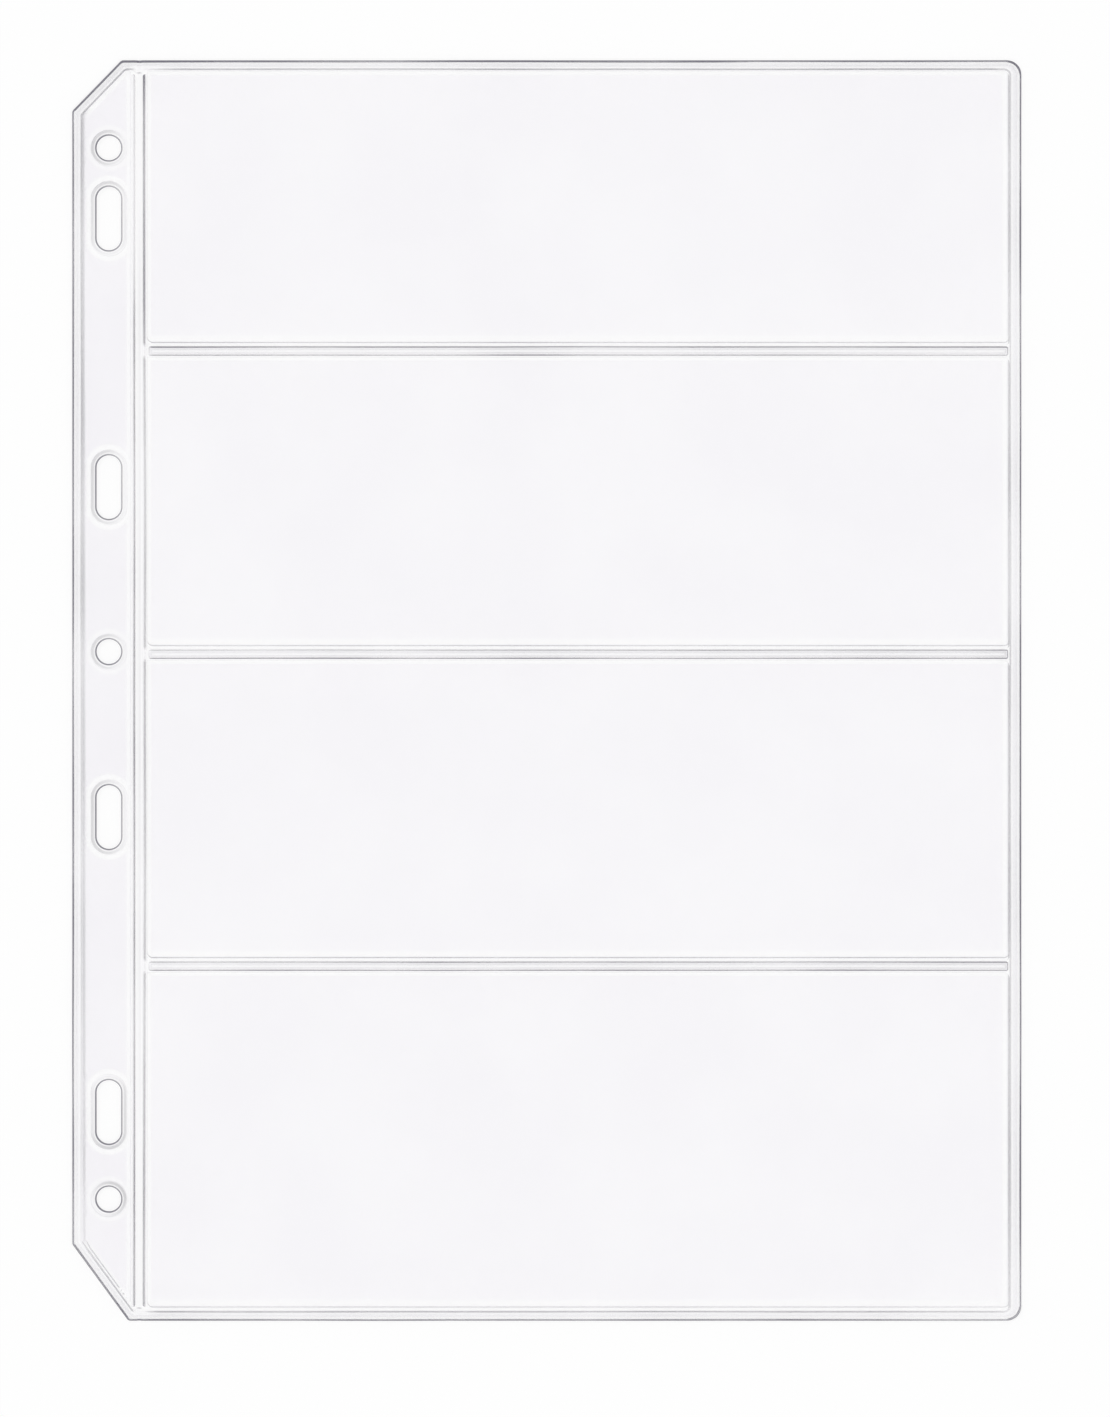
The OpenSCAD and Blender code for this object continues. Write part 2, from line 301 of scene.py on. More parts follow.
def clear_plastic(name, face_alpha, roughness):
    material = bpy.data.materials.new(name)
    material.use_nodes = True
    tree = material.node_tree
    nodes, links = tree.nodes, tree.links
    shader = nodes["Principled BSDF"]

    def attribute(key):
        node = nodes.new("ShaderNodeAttribute")
        node.attribute_name = key
        return node

    def math_node(kind, a, b, clamp=False):
        node = nodes.new("ShaderNodeMath")
        node.operation = kind
        node.use_clamp = clamp
        for socket, value in zip(node.inputs, (a, b)):
            if isinstance(value, (int, float)):
                socket.default_value = value
            else:
                links.new(value, socket)
        return node.outputs[0]

    def noise(scale, detail):
        node = nodes.new("ShaderNodeTexNoise")
        node.noise_dimensions = "2D"
        node.inputs["Scale"].default_value = scale
        node.inputs["Detail"].default_value = detail
        links.new(rest.outputs["Vector"], node.inputs["Vector"])
        return node.outputs["Fac"]

    def spread(value, share):
        """A noise stretched to vary by a share up and down from 1."""
        node = nodes.new("ShaderNodeMapRange")
        node.inputs["From Min"].default_value = NOISE_LOW
        node.inputs["From Max"].default_value = NOISE_HIGH
        node.inputs["To Min"].default_value = 1 - share
        node.inputs["To Max"].default_value = 1 + share
        links.new(value, node.inputs["Value"])
        return node.outputs["Result"]

    def blend_colour(factor, a, b):
        node = nodes.new("ShaderNodeMix")
        node.data_type = "RGBA"
        links.new(factor, node.inputs["Factor"])
        for socket, value in zip((node.inputs[MIX_A], node.inputs[MIX_B]), (a, b)):
            if isinstance(value, tuple):
                socket.default_value = value
            else:
                links.new(value, socket)
        return node.outputs[MIX_RESULT]

    rest = attribute("rest_place")
    painted_highlight = attribute("painted_highlight").outputs["Fac"]
    slow = noise(SLOW_SCALE, SLOW_DETAIL)
    painted_shade = math_node("MULTIPLY", attribute("painted_shade").outputs["Fac"], spread(slow, LINE_SHARE), True)
    mottle = spread(slow, MOTTLE_SHARE)

    # A painted highlight tints the film towards white, and painted shade darkens it towards the line colour
    with_painted_highlight = blend_colour(math_node("MULTIPLY", painted_highlight, PAINTED_HIGHLIGHT_TINT, True), FILM_COLOUR, PAINTED_HIGHLIGHT_COLOUR)
    with_painted_shade = blend_colour(math_node("MULTIPLY", painted_shade, PAINTED_SHADE_TINT, True), with_painted_highlight, PAINTED_SHADE_COLOUR)
    links.new(with_painted_shade, shader.inputs["Base Color"])

    facing = nodes.new("ShaderNodeLayerWeight")
    facing.inputs["Blend"].default_value = GRAZING_BLEND
    grazing = math_node("POWER", facing.outputs["Facing"], GRAZING_POWER)
    # A painted highlight clears the film's own haze, and painted shade adds dark cover
    hazy = math_node("MULTIPLY", math_node("SUBTRACT", 1, painted_highlight, True), face_alpha)
    alpha = math_node("MULTIPLY", mottle, hazy)
    alpha = math_node("ADD", alpha, math_node("MULTIPLY", painted_shade, PAINTED_SHADE_ALPHA))
    alpha = math_node("ADD", alpha, math_node("MULTIPLY", painted_highlight, PAINTED_HIGHLIGHT_ALPHA))
    alpha = math_node("ADD", alpha, math_node("MULTIPLY", grazing, GRAZING_ALPHA), True)
    links.new(alpha, shader.inputs["Alpha"])

    bump = nodes.new("ShaderNodeBump")
    bump.inputs["Strength"].default_value = BUMP_STRENGTH
    bump.inputs["Distance"].default_value = BUMP_HEIGHT
    links.new(noise(BUMP_SCALE, BUMP_DETAIL), bump.inputs["Height"])
    links.new(bump.outputs["Normal"], shader.inputs["Normal"])
    links.new(math_node("MULTIPLY", mottle, roughness), shader.inputs["Roughness"])
    return material


back_clear = clear_plastic("back_film", face_alpha=0.009, roughness=0.16)
pocket_film = clear_plastic("pocket_film", face_alpha=0.06, roughness=0.16)
strip_film = clear_plastic("strip_film", face_alpha=0.078, roughness=0.2)
weld = clear_plastic("weld_seam", face_alpha=0.03, roughness=0.2)

# The page's outline, anticlockwise from the bottom cut
page = [
    np.array(p)
    for p in (
        (LEFT + BOTTOM_CUT[0], BOTTOM),
        (RIGHT, BOTTOM),
        (RIGHT, TOP),
        (LEFT + TOP_CUT[0], TOP),
        (LEFT, TOP - TOP_CUT[1]),
        (LEFT, BOTTOM + BOTTOM_CUT[1]),
    )
]
page_radii = np.array([CUT_R, FORE_R, FORE_R, CUT_R, CUT_R, CUT_R])
weld_widths = np.array([EDGE_W, FORE_W, EDGE_W, EDGE_W, EDGE_W, EDGE_W])

# The film bends between the fold and the leaf's spine weld, on columns set close together there
BEND_END = LEAF_X - FOLD_X - BITE
BEND_STEPS, BEND_ROOM = 10, 2
BEFORE_BEND, AFTER_BEND = (-0.5, -0.4, -0.3, -0.2, -0.1), (0.12, 0.24)
bend_xs = [FOLD_X + t for t in BEFORE_BEND]
bend_xs += [FOLD_X + BEND_END * k / BEND_STEPS for k in range(BEND_STEPS + 1)]
bend_xs += [FOLD_X + BEND_END + t for t in AFTER_BEND]
SIDE_SPACING, CORNER_MARGIN = 7, 6


def page_stops():
    """Stops along each side of the page, close together where the bottom and the top cross the crease."""
    stops = []
    clear_x = bend_xs[-1] + BEND_ROOM
    for i, p in enumerate(page):
        length = np.hypot(*(page[(i + 1) % len(page)] - p))
        stops.append(even_stops(length, CORNER_MARGIN, SIDE_SPACING))
    stops[0] = [x - page[0][0] for x in bend_xs] + [s for s in stops[0] if s + page[0][0] > clear_x]
    stops[2] = [s for s in stops[2] if RIGHT - s > clear_x] + [RIGHT - x for x in reversed(bend_xs)]
    return stops


stops = page_stops()

# Collars: a middle, the hole's radius, the outer radius and half of the straight length of each
collars = {}
for ring in ("top", "middle", "bottom"):
    low, high = box_mm(f"ring_hole_collar_{ring}")
    hole_r = mount_sizes[f"ring_hole_{ring}"]["r_mm"]
    collars[f"ring_hole_collar_{ring}"] = ((low + high)[:2] / 2, hole_r, (high[0] - low[0]) / 2, 0)
for i, pair in enumerate(("outer", "inner", "inner", "outer")):
    low, high = box_mm(f"slot_collar_{i + 1}")
    hole_r = mount_sizes[f"{pair}_slots"]["hole_r_mm"]
    half = mount_sizes[f"{pair}_slots"]["slot_length_mm"] / 2 - hole_r
    collars[f"slot_collar_{i + 1}"] = ((low + high)[:2] / 2, hole_r, (high[0] - low[0]) / 2, half)


def in_collar(p):
    return any(capsule_distance(c, half, p) < r for c, _, r, half in collars.values())


collar_holes = [capsule(c, r + HAIR, half) for c, _, r, half in collars.values()]

# Back film, in one piece across the crease. The groove there has a little painted shade, most of all along its middle,
# and its two ends show as short painted shade lines
GROOVE_ROOM, GROOVE_LINE, GROOVE_END_SHADE, GROOVE_HALF_W = 0.35, 0.22, 0.5, 0.8
GROOVE_PAINTED_SHADE, GROOVE_FAINT, GROOVE_SPAN = 0.11, 0.3, (-0.6, 0.05, 0.75)
GROOVE_FADE_TOP, GROOVE_FADE_BOTTOM = (110, 80), (-100, -60)
BEND_ROWS = 40
LEAF_MARGIN, LEAF_COLUMNS, LEAF_ROWS = 6, 12, 16
groove_ends = (leaf_spine[0][1] - GROOVE_ROOM, leaf_spine[1][1] + GROOVE_ROOM)
rows = list(np.linspace(BOTTOM + CORNER_MARGIN, TOP - CORNER_MARGIN, BEND_ROWS))
rows += [y + t for y in groove_ends for t in (-GROOVE_LINE, 0, GROOVE_LINE)]
bend_columns = [[(x, y) for y in sorted(rows)] for x in bend_xs]
leaf_grid = [
    (x, y)
    for x in np.linspace(LEAF_X + LEAF_MARGIN, RIGHT - LEAF_MARGIN, LEAF_COLUMNS)
    for y in np.linspace(BOTTOM + LEAF_MARGIN, TOP - LEAF_MARGIN, LEAF_ROWS)
]


def back_tone(p):
    """Painted shade and painted highlight at a point of the back film."""
    near = min(abs(p[1] - y) for y in groove_ends)
    in_groove = hump(FOLD_X - GROOVE_HALF_W, FOLD_X, FOLD_X + GROOVE_HALF_W, p[0])
    ends = GROOVE_END_SHADE * float(in_groove) * max(0, 1 - near / GROOVE_LINE)
    along = at_least(GROOVE_FAINT, smooth(*GROOVE_FADE_TOP, p[1]) * smooth(*GROOVE_FADE_BOTTOM, p[1]))
    across = hump(*(FOLD_X + t for t in GROOVE_SPAN), p[0])
    return max(ends, GROOVE_PAINTED_SHADE * float(along * across)), 0


back_film = plate_piece(
    "back_film",
    [round_loop(page, np.full(len(page), HAIR), page_radii, stops)] + collar_holes,
    bend_columns,
    leaf_grid,
    in_collar,
    0,
    FILM_TOP,
    back_tone,
    back_clear,
)
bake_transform(back_film)
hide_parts("strip_back_film", "leaf_back_film")

# Edge weld, in one loop: a bead along each border of a flat land, pressed flat where it crosses the crease.
# Each row is a distance from the outer border, a share of the width, a height from the land in bead heights,
# a painted shade and a painted highlight
WALL_TOP = -0.4
OUTER_BEAD = (
    (0, 0, WALL_TOP, 1, 0),
    (0.03, 0, 0, 1, 0),
    (0.07, 0, 0.45, 1, 0),
    (0.13, 0, 0.85, 1, 0),
    (0.2, 0, 1, 0.95, 0),
    (0.27, 0, 0.85, 0.85, 0),
    (0.33, 0, 0.45, 0.6, 0),
    (0.4, 0, 0, 0.12, 0.6),
    (0.5, 0, 0, 0, 1),
    (0.65, 0, 0, 0, 1),
    (0.85, 0, 0, 0.09, 0.1),
    (0.97, 0, 0, 0.12, 0),
)
INNER_BEAD = (
    (-0.75, 1, 0, 0.12, 0),
    (-0.55, 1, 0, 0.04, 0.5),
    (-0.4, 1, 0, 0.03, 0.5),
    (-0.33, 1, 0.45, 0.15, 0),
    (-0.27, 1, 0.85, 0.35, 0),
    (-0.2, 1, 1, 0.5, 0),
    (-0.13, 1, 0.85, 0.55, 0),
    (-0.07, 1, 0.45, 0.5, 0),
    (-0.03, 1, 0, 0.42, 0),
    (0, 1, WALL_TOP, 0.35, 0),
)
WANDER = 0.05
CREASE_FLAT = 0.12
CREASE_CLEAR, CREASE_FULL = 0.15, 0.5
CREASE_OPEN, CREASE_CLOSED = 0.8, 1.7

# The painted shade lines differ from side to side: the inner one is fainter along the fore edge and fades down the
# binding edge, and the outer one is fainter along the bottom, and thick on the cuts, the round corners and most of the
# top
FORE_SHARE, BOTTOM_SHARE = 0.6, 0.88
BINDING_TOP, BINDING_FALL, BINDING_ROOM = 0.95, 0.75, 0.1
SIDE_ROOM, THICK_TOP_END = 1, 40
THICK_LINE, THICK_PAINTED_SHADE = 0.45, 0.95


def down_share(y):
    """How far down the page a height is, from 0 at the top to 1 at the bottom."""
    return (TOP - y) / (TOP - BOTTOM)


def crease_height(x):
    """How much of its height a weld keeps near the crease."""
    away = abs(x - FOLD_X) if x < FOLD_X else abs(x - FOLD_X) * CREASE_FULL / BEND_END
    return at_least(CREASE_FLAT, smooth(CREASE_CLEAR, CREASE_FULL, away))


def on_thick_line(x, y):
    """Whether a point of the edge weld lies on a cut, on a round corner or on the thick part of the top."""
    return (
        x < LEFT + TOP_CUT[0] and y > TOP - TOP_CUT[1]
        or x < LEFT + BOTTOM_CUT[0] and y < BOTTOM + BOTTOM_CUT[1]
        or x > RIGHT - FORE_R and not BOTTOM + FORE_R < y < TOP - FORE_R
        or x < THICK_TOP_END and y > TOP - SIDE_ROOM
    )


def edge_loop(away, share, z, painted_shade, painted_highlight, wander):
    """A loop round the edge weld: of its outer line with a share of 0, of its inner line with a share of 1."""
    by = away + share * weld_widths
    radii = page_radii + (INNER_R - page_radii) * np.clip(by / weld_widths, 0, 1)
    radii = np.maximum(radii, MIN_RADIUS)
    loop = []
    for x, y in round_loop(page, by, radii, stops):
        drift = wander * waver(x, y, EDGE_SEED + share)
        line, thick = painted_shade, 0
        if share:
            line *= smooth(CREASE_OPEN, CREASE_CLOSED, abs(x - FOLD_X))
            line *= FORE_SHARE if x > RIGHT - FORE_W - INNER_R else 1
            line *= BINDING_TOP - BINDING_FALL * down_share(y) if x < LEFT + EDGE_W + BINDING_ROOM else 1
        else:
            line *= BOTTOM_SHARE if y < BOTTOM + SIDE_ROOM else 1
            thick = THICK_PAINTED_SHADE if painted_shade and away < THICK_LINE and on_thick_line(x, y) else 0
        height = FILM_TOP + (z - FILM_TOP) * crease_height(x)
        loop.append((x + drift, y + drift, height, max(line, thick), painted_highlight * (1 - thick)))
    return loop


edge_loops = [edge_loop(0, 0, FILM_TOP - BITE, 0, 0, 0)]
for away, share, height, painted_shade, painted_highlight in OUTER_BEAD + INNER_BEAD:
    wander = WANDER if height > WALL_TOP else 0
    edge_loops.append(edge_loop(away, share, LAND_Z + height * BEAD_H, painted_shade, painted_highlight, wander))
edge_loops.append(edge_loop(0, 1, FILM_TOP - BITE, 0, 0, 0))
edge_weld = sweep_piece("edge_weld", edge_loops, True, weld)
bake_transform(edge_weld)
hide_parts("strip_edge_weld", "leaf_edge_weld")

# Straight welds: a bead round a flat land. Each row is a distance from the border and a height in bead heights
BAR_ROWS = (
    (0, WALL_TOP), (0.03, 0), (0.07, 0.45), (0.13, 0.85), (0.2, 1), (0.27, 0.85), (0.33, 0.45), (0.4, 0)
)
BAR_INNER = (0.55, 0.7)
BAR_END_R, BAR_MIN_R, BAR_CORE = 0.4, 0.02, 0.03
BAR_LONG, BAR_MARGIN, STOP_ROOM = 10, 1, 0.3


def weld_bar(name, node, tone, body, extra_ys=()):
    """A straight weld. Extra heights up the page get stops of their own along its two long sides."""
    low, high = box_mm(node)
    size = high[:2] - low[:2]
    corners = ((low[0], low[1]), (high[0], low[1]), (high[0], high[1]), (low[0], high[1]))
    points = [np.array(p) for p in corners]
    half = min(size) / 2
    bar_stops = [even_stops(s, BAR_MARGIN, SIDE_SPACING) if s > BAR_LONG else [] for s in (*size, *size)]
    for side, extra in ((1, [y - low[1] for y in extra_ys]), (3, [high[1] - y for y in extra_ys])):
        apart = [s for s in bar_stops[side] if all(abs(s - e) > STOP_ROOM for e in extra)]
        bar_stops[side] = sorted(apart + extra)
    inner = [d for d in BAR_INNER if d < half - BAR_CORE] + [half - BAR_CORE]
    bar_rows = [(0, None)] + list(BAR_ROWS) + [(d, 0) for d in inner]
    loops = []
    for d, height in bar_rows:
        r = max(min(BAR_END_R, half) - d, BAR_MIN_R)
        z = FILM_TOP - BITE if height is None else LAND_Z + height * BEAD_H
        loop = []
        for x, y in round_loop(points, np.full(4, float(d)), np.full(4, r), bar_stops):
            across = (np.array([x, y]) - low[:2]) / size
            drift = WANDER * waver(x, y, BAR_SEED) if 0 < d < half - BAR_CORE else 0
            looks = (0, 0) if height is None else tone(d, across[0], y)
            loop.append((x + drift * (size[0] < size[1]), y + drift * (size[0] > size[1]), z, *looks))
        loops.append(loop)
    piece = sweep_piece(name, loops, False, weld)
    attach(piece, body)
    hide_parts(node)


# Painted shade and painted highlights of the straight welds, from d, the distance from the border, u, the share of the
# way across from the left, and y, the height up the page. Each divider has an upper painted shade line with a strength
# at its left and its right, and a lower line with one strength, with painted shade on its land that darkens to the
# right and a painted highlight along its core
UPPER_LINES = ((1.2, 1.2), (0.42, 0.8), (0.55, 0.85))
LOWER_LINES = (0.65, 0.8, 0.85)
DIVIDER_FADE, DIVIDER_END, DIVIDER_END_LEFT, DIVIDER_END_RIGHT = (0.1, 0.33), 0.004, 0.15, 0.75
LAND_SHADE, LAND_RISE, LAND_SPAN = 0.13, 0.05, (0.2, 0.5, 0.95)
CORE_PAINTED_HIGHLIGHT, CORE_RISE = 0.4, (0.75, 0.95)

# The strip's spine line, a painted shade, is faint at its top. The leaf's is strong there and bows to the right along
# its middle, and opens at the dividers. Each has a painted highlight beside it. Each rise is an added strength and the
# distances from the top between which it comes
STRIP_SPINE_FAINT, STRIP_SPINE_RISE, STRIP_SPINE_RAMP = 0.27, 0.37, (38, 55)
STRIP_SPINE_SPAN, STRIP_SPINE_HIGHLIGHT = (0.4, 0.8, 1.25), (0.1, 0.4)
LEAF_SPINE_FAINT, LEAF_SPINE_RISES = 0.46, ((0.27, 60, 40), (0.2, 10, 2), (0.1, 185, 215))
LEAF_SPINE_SPAN, LEAF_SPINE_HIGHLIGHT, LEAF_SPINE_LINE = (-0.2, 0.28, 0.8), (0.8, 1), (0, 0.2)
SPINE_BOW, SPINE_BOW_ENDS = 0.25, (30, 110)
SPINE_OPEN = (0.8, 1.7)
SPINE_STOPS = (0.3, *SPINE_OPEN, 1.25)
divider_middles = [sum(box_mm(f"divider_weld_{i}"))[1] / 2 for i in (1, 2, 3)]


def divider_tone(d, u, y):
    nearest = int(np.argmin([abs(y - middle) for middle in divider_middles]))
    left, right = UPPER_LINES[nearest]
    strong = left + (right - left) * u if y > divider_middles[nearest] else LOWER_LINES[nearest]
    left_end = at_least(DIVIDER_END_LEFT, smooth(0, DIVIDER_END, u))
    right_end = at_least(DIVIDER_END_RIGHT, smooth(0, DIVIDER_END, 1 - u))
    line = strong * (1 - smooth(*DIVIDER_FADE, d)) * min(left_end, right_end)
    return line + (LAND_SHADE + LAND_RISE * u) * hump(*LAND_SPAN, d), CORE_PAINTED_HIGHLIGHT * smooth(*CORE_RISE, d)


def strip_spine_tone(d, u, y):
    strong = STRIP_SPINE_FAINT + STRIP_SPINE_RISE * smooth(*STRIP_SPINE_RAMP, strip_spine[1][1] - y)
    return strong * hump(*STRIP_SPINE_SPAN, u), 1 - smooth(*STRIP_SPINE_HIGHLIGHT, u)


def leaf_spine_tone(d, u, y):
    open_at = min(abs(y - middle) for middle in divider_middles)
    down = leaf_spine[1][1] - y
    strong = sum((rise * smooth(start, full, down) for rise, start, full in LEAF_SPINE_RISES), LEAF_SPINE_FAINT)
    bow = SPINE_BOW * (1 - smooth(*SPINE_BOW_ENDS, abs(y)))
    line = strong * hump(*(bow + t for t in LEAF_SPINE_SPAN), u)
    highlight = smooth(*LEAF_SPINE_HIGHLIGHT, u) * (1 - smooth(*LEAF_SPINE_LINE, line))
    return line * smooth(*SPINE_OPEN, open_at), highlight


weld_bar("strip_spine_seam", "strip_spine_weld", strip_spine_tone, "strip")
spine_stops = [middle + s * t for middle in divider_middles for s in (-1, 1) for t in SPINE_STOPS]
weld_bar("leaf_spine_seam", "leaf_spine_weld", leaf_spine_tone, "leaf", spine_stops)
for i in (1, 2, 3):
    weld_bar(f"divider_seam_{i}", f"divider_weld_{i}", divider_tone, "leaf")

# Collars, fused through the films: a round rim at the hole, a flat land and a bead with painted shade towards one
# side.
# Each row is a share of the collar's width, a height in bead heights, a painted shade and a painted highlight
COLLAR_ROWS = (
    (0, WALL_TOP, 1, 0),
    (0.03, -0.1, 1, 0),
    (0.1, 0.05, 1, 0),
    (0.18, 0, 0.8, 0),
    (0.26, 0, 0.15, 0.6),
    (0.34, 0, 0.02, 1),
    (0.46, 0.05, 0.1, 0.3),
    (0.6, 0.5, 0.17, 0),
    (0.76, 1, 0.19, 0),
    (0.9, 0.75, 0.16, 0),
    (0.97, 0.25, 0.08, 0.2),
    (1, WALL_TOP, 0.04, 0.3),
)
collar_rows = ((0, None, 0, 0),) + COLLAR_ROWS + ((1, None, 0, 0),)

# The side that each collar's bead has painted shade on, as if lit from the other side, in the order of the collars,
# and the one that every rim has painted shade on
SHADE_ANGLES, SHADE_SHARE = (170, 165, 35, 115, 170, 200, 290), 0.65
RIM_ANGLE, RIM_SHARE, RIM_END = 225, 0.25, 0.3
outward = capsule((0, 0), 1, 0)


def side_of(degrees):
    """The direction at an angle, anticlockwise from the fore side."""
    angle = math.radians(degrees)
    return np.array([math.cos(angle), math.sin(angle)])


for (node, (centre, hole_r, outer_r, half)), shade_angle in zip(collars.items(), SHADE_ANGLES):
    width = outer_r - hole_r
    loops = []
    for share, height, painted_shade, painted_highlight in collar_rows:
        z = 0 if height is None else LAND_Z + height * BEAD_H
        loop = capsule(centre, hole_r + share * width, half)
        dark_side = RIM_SHARE * side_of(RIM_ANGLE) if share < RIM_END else SHADE_SHARE * side_of(shade_angle)
        lit = 1 + outward @ dark_side
        loops.append([(x, y, z, painted_shade * s, painted_highlight) for (x, y), s in zip(loop, lit)])
    collar = sweep_piece(node.replace("collar", "rim"), loops, True, weld)
    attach(collar, "strip")
    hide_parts(node)

# Front film of the strip, with painted highlights along its border and round the collars, a second painted shade line
# along the bottom cut and a soft painted shade line along the binding edge that drifts inwards and fades on its way
# down
STRIP_RING_STEPS = (0.15, 0.35, 0.6, 0.9, 1.3, 1.8)
STRIP_BORDER_STEPS = (0.12, 0.34, 0.5, 0.66, 0.9, 1.3, 2)
STRIP_GRID, SLOT_SPACING, STRIP_ROOM, POINT_ROOM = (1.5, 2.5), 1, 0.1, 0.14
SECOND_LINE, SECOND_LINE_W, SECOND_PAINTED_SHADE, SECOND_ENDS = 0.5, 0.16, 0.65, (0.6, 1.6)
BINDING_PAINTED_SHADE, BINDING_FADE, BINDING_DRIFT, BINDING_SPAN = 0.34, 0.4, 0.4, (-0.5, 0.05, 0.75)
BORDER_HIGHLIGHT, RING_SPAN = (0.9, (0, 0.35, 1.1)), (-0.3, 0.5, 1.3)
SPINE_PAINTED_HIGHLIGHT, HOLE_PAINTED_HIGHLIGHT, SLOT_PAINTED_HIGHLIGHT = 0.4, 0.25, 0.7
SPINE_FADE, BINDING_CLEAR = (0.3, 1.2), (0.6, 1.3)
LEAST_PAINTED_SHADE, NO_PAINTED_SHADE = 0.05, 0.1
strip_outline = cut_right(inset(page, weld_widths + HAIR), strip_spine[0][0] - HAIR)
cut_line = page[5], side_directions(page)[5]
STRIP_CORNER_R, STRIP_INNER_R, STRIP_MARGIN, STRIP_SPACING = 0.5, 0.1, 2.2, 0.9
STRIP_LONG = 3 * STRIP_MARGIN


def strip_loop(step, corner_r):
    """The strip film's outline moved inwards by a step, with the same stops along its sides for every step."""
    count = len(strip_outline)
    lengths = [np.hypot(*(strip_outline[(i + 1) % count] - p)) for i, p in enumerate(strip_outline)]
    sides = [even_stops(s, STRIP_MARGIN, STRIP_SPACING) if s > STRIP_LONG else [] for s in lengths]
    return round_loop(strip_outline, np.full(count, float(step)), np.full(count, corner_r), sides)


def strip_tone(p):
    """Painted shade and painted highlight at a point of the strip's front film."""
    border = depth_inside(strip_outline, p)
    left, right = p[0] - front_low[0], front_high[0] - p[0]
    down = down_share(p[1])
    around = max(
        (SLOT_PAINTED_HIGHLIGHT if half else HOLE_PAINTED_HIGHLIGHT) * float(hump(*RING_SPAN, capsule_distance(c, half, p) - r))
        for c, _, r, half in collars.values()
    )
    cut = float((p - cut_line[0]) @ left_of(cut_line[1])) - EDGE_W
    second = SECOND_PAINTED_SHADE * max(0, 1 - abs(cut - SECOND_LINE) / SECOND_LINE_W)
    second *= float(smooth(*SECOND_ENDS, min(left, right)))
    drift = BINDING_DRIFT * down
    soft = BINDING_PAINTED_SHADE * (1 - BINDING_FADE * down) * float(hump(*(drift + t for t in BINDING_SPAN), left))
    # Painted highlights along the border and round the collars, fainter near the spine and gone near the binding edge
    edge_highlight = float(band(BORDER_HIGHLIGHT, border)) * at_least(SPINE_PAINTED_HIGHLIGHT, float(smooth(*SPINE_FADE, right)))
    painted_highlight = max(edge_highlight, around) * float(smooth(*BINDING_CLEAR, left))
    painted_shade = max(second, soft)
    return painted_shade if painted_shade > LEAST_PAINTED_SHADE else 0, painted_highlight * (second < NO_PAINTED_SHADE)


def spread_points(candidates, inside, room):
    """The candidates that lie inside, each at least some room from the ones before it."""
    kept, cells = [], {}
    for p in candidates:
        if not inside(p):
            continue
        cell = (int(p[0] // room), int(p[1] // room))
        around = [(cell[0] + i, cell[1] + j) for i in (-1, 0, 1) for j in (-1, 0, 1)]
        near = [q for place in around for q in cells.get(place, [])]
        if all(math.hypot(p[0] - q[0], p[1] - q[1]) > room for q in near):
            kept.append(p)
            cells.setdefault(cell, []).append(p)
    return kept


def inside_strip(p):
    """Whether a point is clear of the strip film's border and of the collars."""
    from_collar = min(capsule_distance(c, half, p) - r for c, _, r, half in collars.values())
    return depth_inside(strip_outline, p) > STRIP_ROOM and from_collar > STRIP_ROOM


def strip_points():
    """Points inside the strip film: rows round the collars and along its border, and a grid between them."""
    found = []
    for c, _, r, half in collars.values():
        side_ys = np.arange(c[1] - half, c[1] + half, SLOT_SPACING)
        for step in STRIP_RING_STEPS:
            found += list(capsule(c, r + step, half))
            found += [np.array([c[0] + s * (r + step), y]) for s in (-1, 1) for y in side_ys]
    for step in STRIP_BORDER_STEPS:
        found += list(strip_loop(step, STRIP_INNER_R))
    grid_xs = np.arange(LEFT, strip_spine[0][0], STRIP_GRID[0])
    grid_ys = np.arange(BOTTOM, TOP, STRIP_GRID[1])
    grid = [np.array([x, y]) for x in grid_xs for y in grid_ys]
    found += [p for p in grid if depth_inside(strip_outline, p) > STRIP_BORDER_STEPS[-1]]
    return spread_points(found, inside_strip, POINT_ROOM)


strip_front = plate_piece(
    "strip_front",
    [strip_loop(0, STRIP_CORNER_R)] + collar_holes,
    [],
    strip_points(),
    in_collar,
    FRONT_Z,
    LAND_Z,
    strip_tone,
    strip_film,
)
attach(strip_front, "strip")
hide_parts("strip_front_film")

# Pocket fronts. Each is two films that meet at its middle, so that the mouth bows while its sides stay fused
SIDE_COLUMNS = (0, 0.06, 0.15, 0.28, 0.42, 0.55, 0.65, 0.75, 0.85, 1, 1.3, 1.7, 2.5, 4)
BOTTOM_ROWS = (0, 0.05, 0.15, 0.35, 0.55, 0.68, 0.8, 0.92, 1.05, 1.18, 1.4, 1.8, 2.6, 4)
TOP_ROWS = (4, 2.4, 1.4, 0.8, 0.45, 0.2, 0.08, 0)
PANEL_COLUMNS, PANEL_ROWS = 16, 9
RIPPLE, RIPPLE_SCALE, RIPPLE_RISE = 0.035, 2.3, (2, 14)

# A front's painted shade lines and painted highlight bands, each a strength and a span in from a side, the bottom or
# the top. The line along the bottom has a strength for each front
POCKET_LINES, LOW_LINE_SPAN = (0.6, 0.5, 0.64, 0.5), (0.66, 0.8, 0.94)
LEFT_LINE, RIGHT_LINE = (0.08, (-0.1, 0, 0.15)), (0.42, (-0.6, 0.06, 0.5))
TOP_LINE = (0.1, (-0.1, 0, 0.12))
LEFT_HIGHLIGHT, RIGHT_HIGHLIGHT = (1, (-0.2, 0.3, 0.9)), (1, (0.35, 0.8, 1.6))
LOW_HIGHLIGHT, LOW_PAINTED_SHEEN = (1, (-0.1, 0.4, 0.75)), (0.35, (0.9, 1.3, 3))
TOP_HIGHLIGHT = (0.9, (-0.2, 0.25, 0.8))


def corner_rise(away):
    """Height of a rounded corner's edge at a distance from the side."""
    return INNER_R - math.sqrt(INNER_R**2 - (INNER_R - away) ** 2) if away < INNER_R else 0


